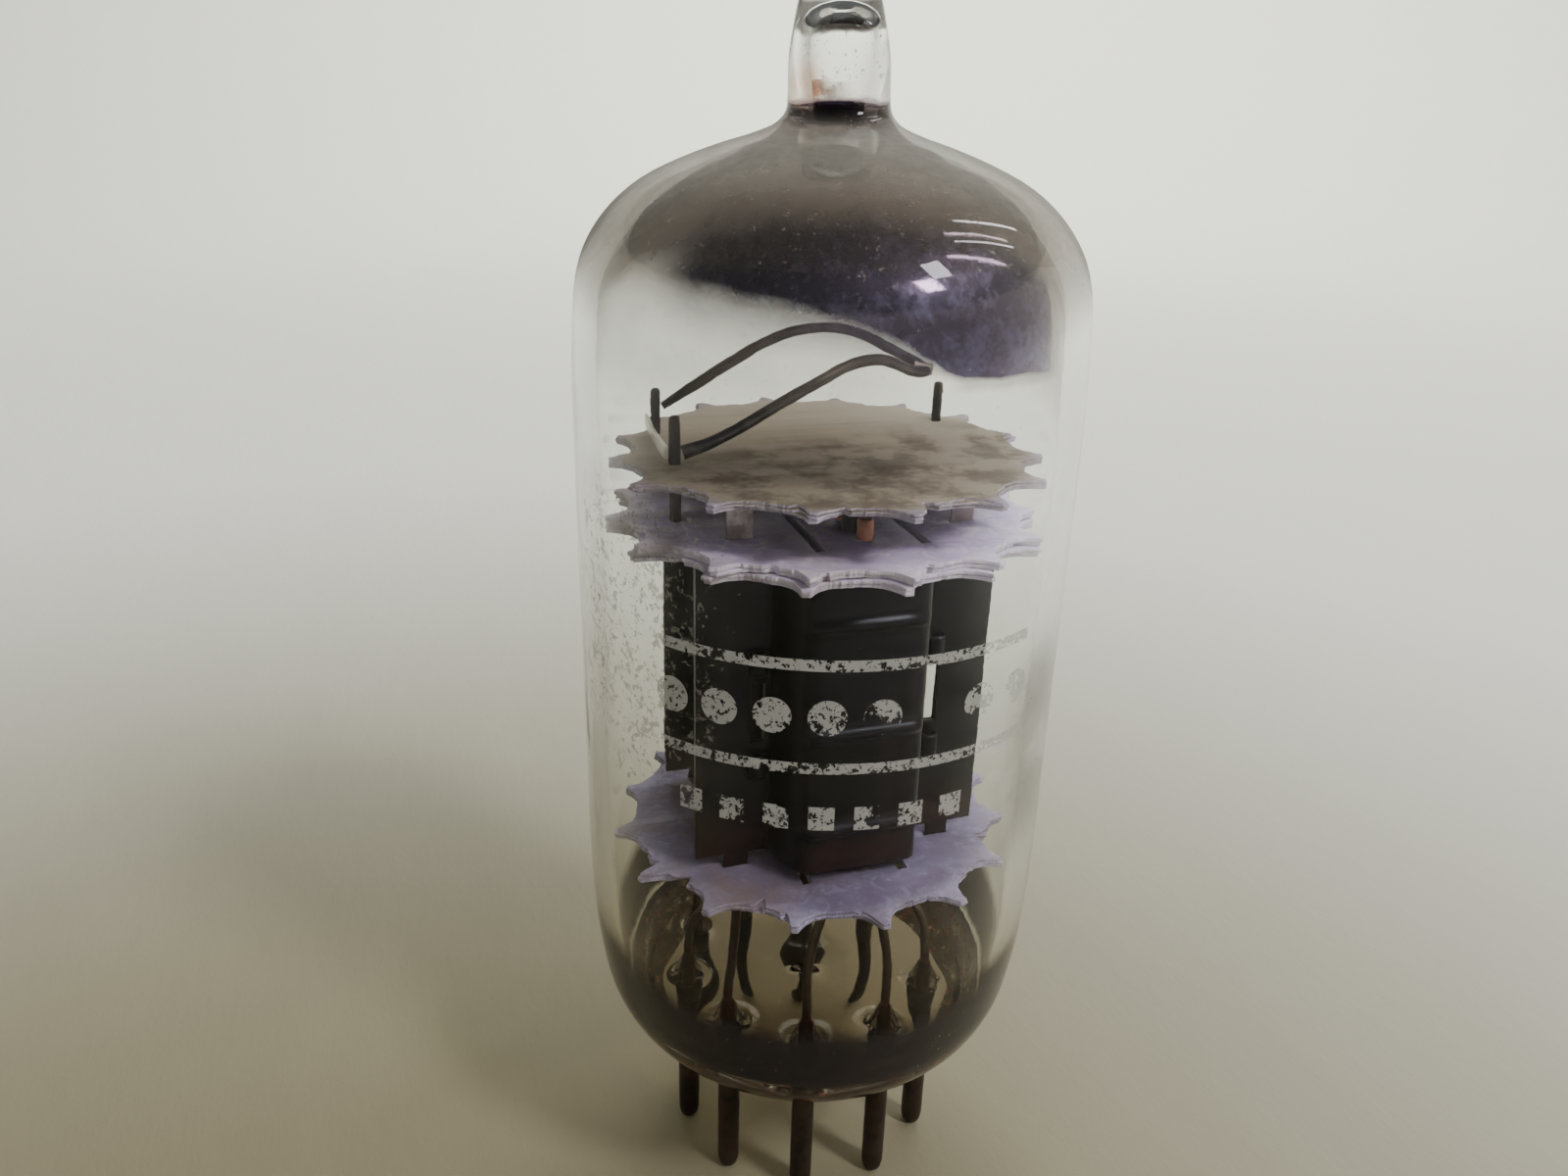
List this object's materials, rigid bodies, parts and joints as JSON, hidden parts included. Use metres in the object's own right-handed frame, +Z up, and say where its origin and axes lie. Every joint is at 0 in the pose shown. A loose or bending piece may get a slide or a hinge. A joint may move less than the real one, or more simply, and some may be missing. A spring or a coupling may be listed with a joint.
{
  "type": "vacuum tube",
  "caption": "All-glass miniature twin triode with a ring of base pins, stacked mica spacers, blackened anodes and a getter loop under the dome.",
  "frame": {"origin": "centre of the flat glass seating face, where the button stem rests on its socket", "axes": "+Z up the bulb towards the exhaust tip, +X along the wide flanges of the anodes and towards the gap in the pin circle, the first triode towards -Y"},
  "size_m": [0.0206, 0.0206, 0.0537],
  "materials": {
    "bulb_glass": "clear blown glass, darkened inside the dome",
    "stem_glass": "pressed glass",
    "pin_metal": "oxidised dark brown",
    "lead_metal": "dull, copper red at the seals",
    "mica": "silky, frosted at the cut edges",
    "blackened_plate": "carbonised satin black",
    "copper_rod": "bare copper",
    "grid_wire": "gold plated",
    "nickel": "drawn nickel",
    "heater_coating": "white sintered alumina",
    "getter_wire": "burnt dark grey"
  },
  "bodies": {
    "root": {"glass_bulb": "bulb_glass", "exhaust_tip": "bulb_glass", "button_stem": "stem_glass", "pin_1": "pin_metal", "pin_2": "pin_metal", "pin_3": "pin_metal", "pin_4": "pin_metal", "pin_5": "pin_metal", "pin_6": "pin_metal", "pin_7": "pin_metal", "pin_8": "pin_metal", "pin_9": "pin_metal", "lead_plate_rear": "lead_metal", "lead_grid_rear": "lead_metal", "lead_cathode_rear": "lead_metal", "lead_heater_rear": "lead_metal", "lead_heater_front": "lead_metal", "lead_plate_front": "lead_metal", "lead_grid_front": "lead_metal", "lead_cathode_front": "lead_metal", "lead_heater_tap": "lead_metal", "mica_bottom": "mica", "mica_middle_lower": "mica", "mica_middle_upper": "mica", "mica_top": "mica", "plate_front_outer": "blackened_plate", "plate_front_inner": "blackened_plate", "plate_rear_inner": "blackened_plate", "plate_rear_outer": "blackened_plate", "grid_rod_front_outer": "copper_rod", "grid_rod_front_inner": "copper_rod", "grid_rod_rear_inner": "copper_rod", "grid_rod_rear_outer": "copper_rod", "grid_winding_front": "grid_wire", "grid_winding_rear": "grid_wire", "cathode_sleeve_front": "nickel", "cathode_sleeve_rear": "nickel", "cathode_tail_front": "nickel", "cathode_tail_rear": "nickel", "heater_front": "heater_coating", "heater_rear": "heater_coating", "post_rear_left": "nickel", "post_front_left": "nickel", "post_right": "nickel", "getter_crossbar": "nickel", "getter_loop": "getter_wire"}
  },
  "joints": []
}
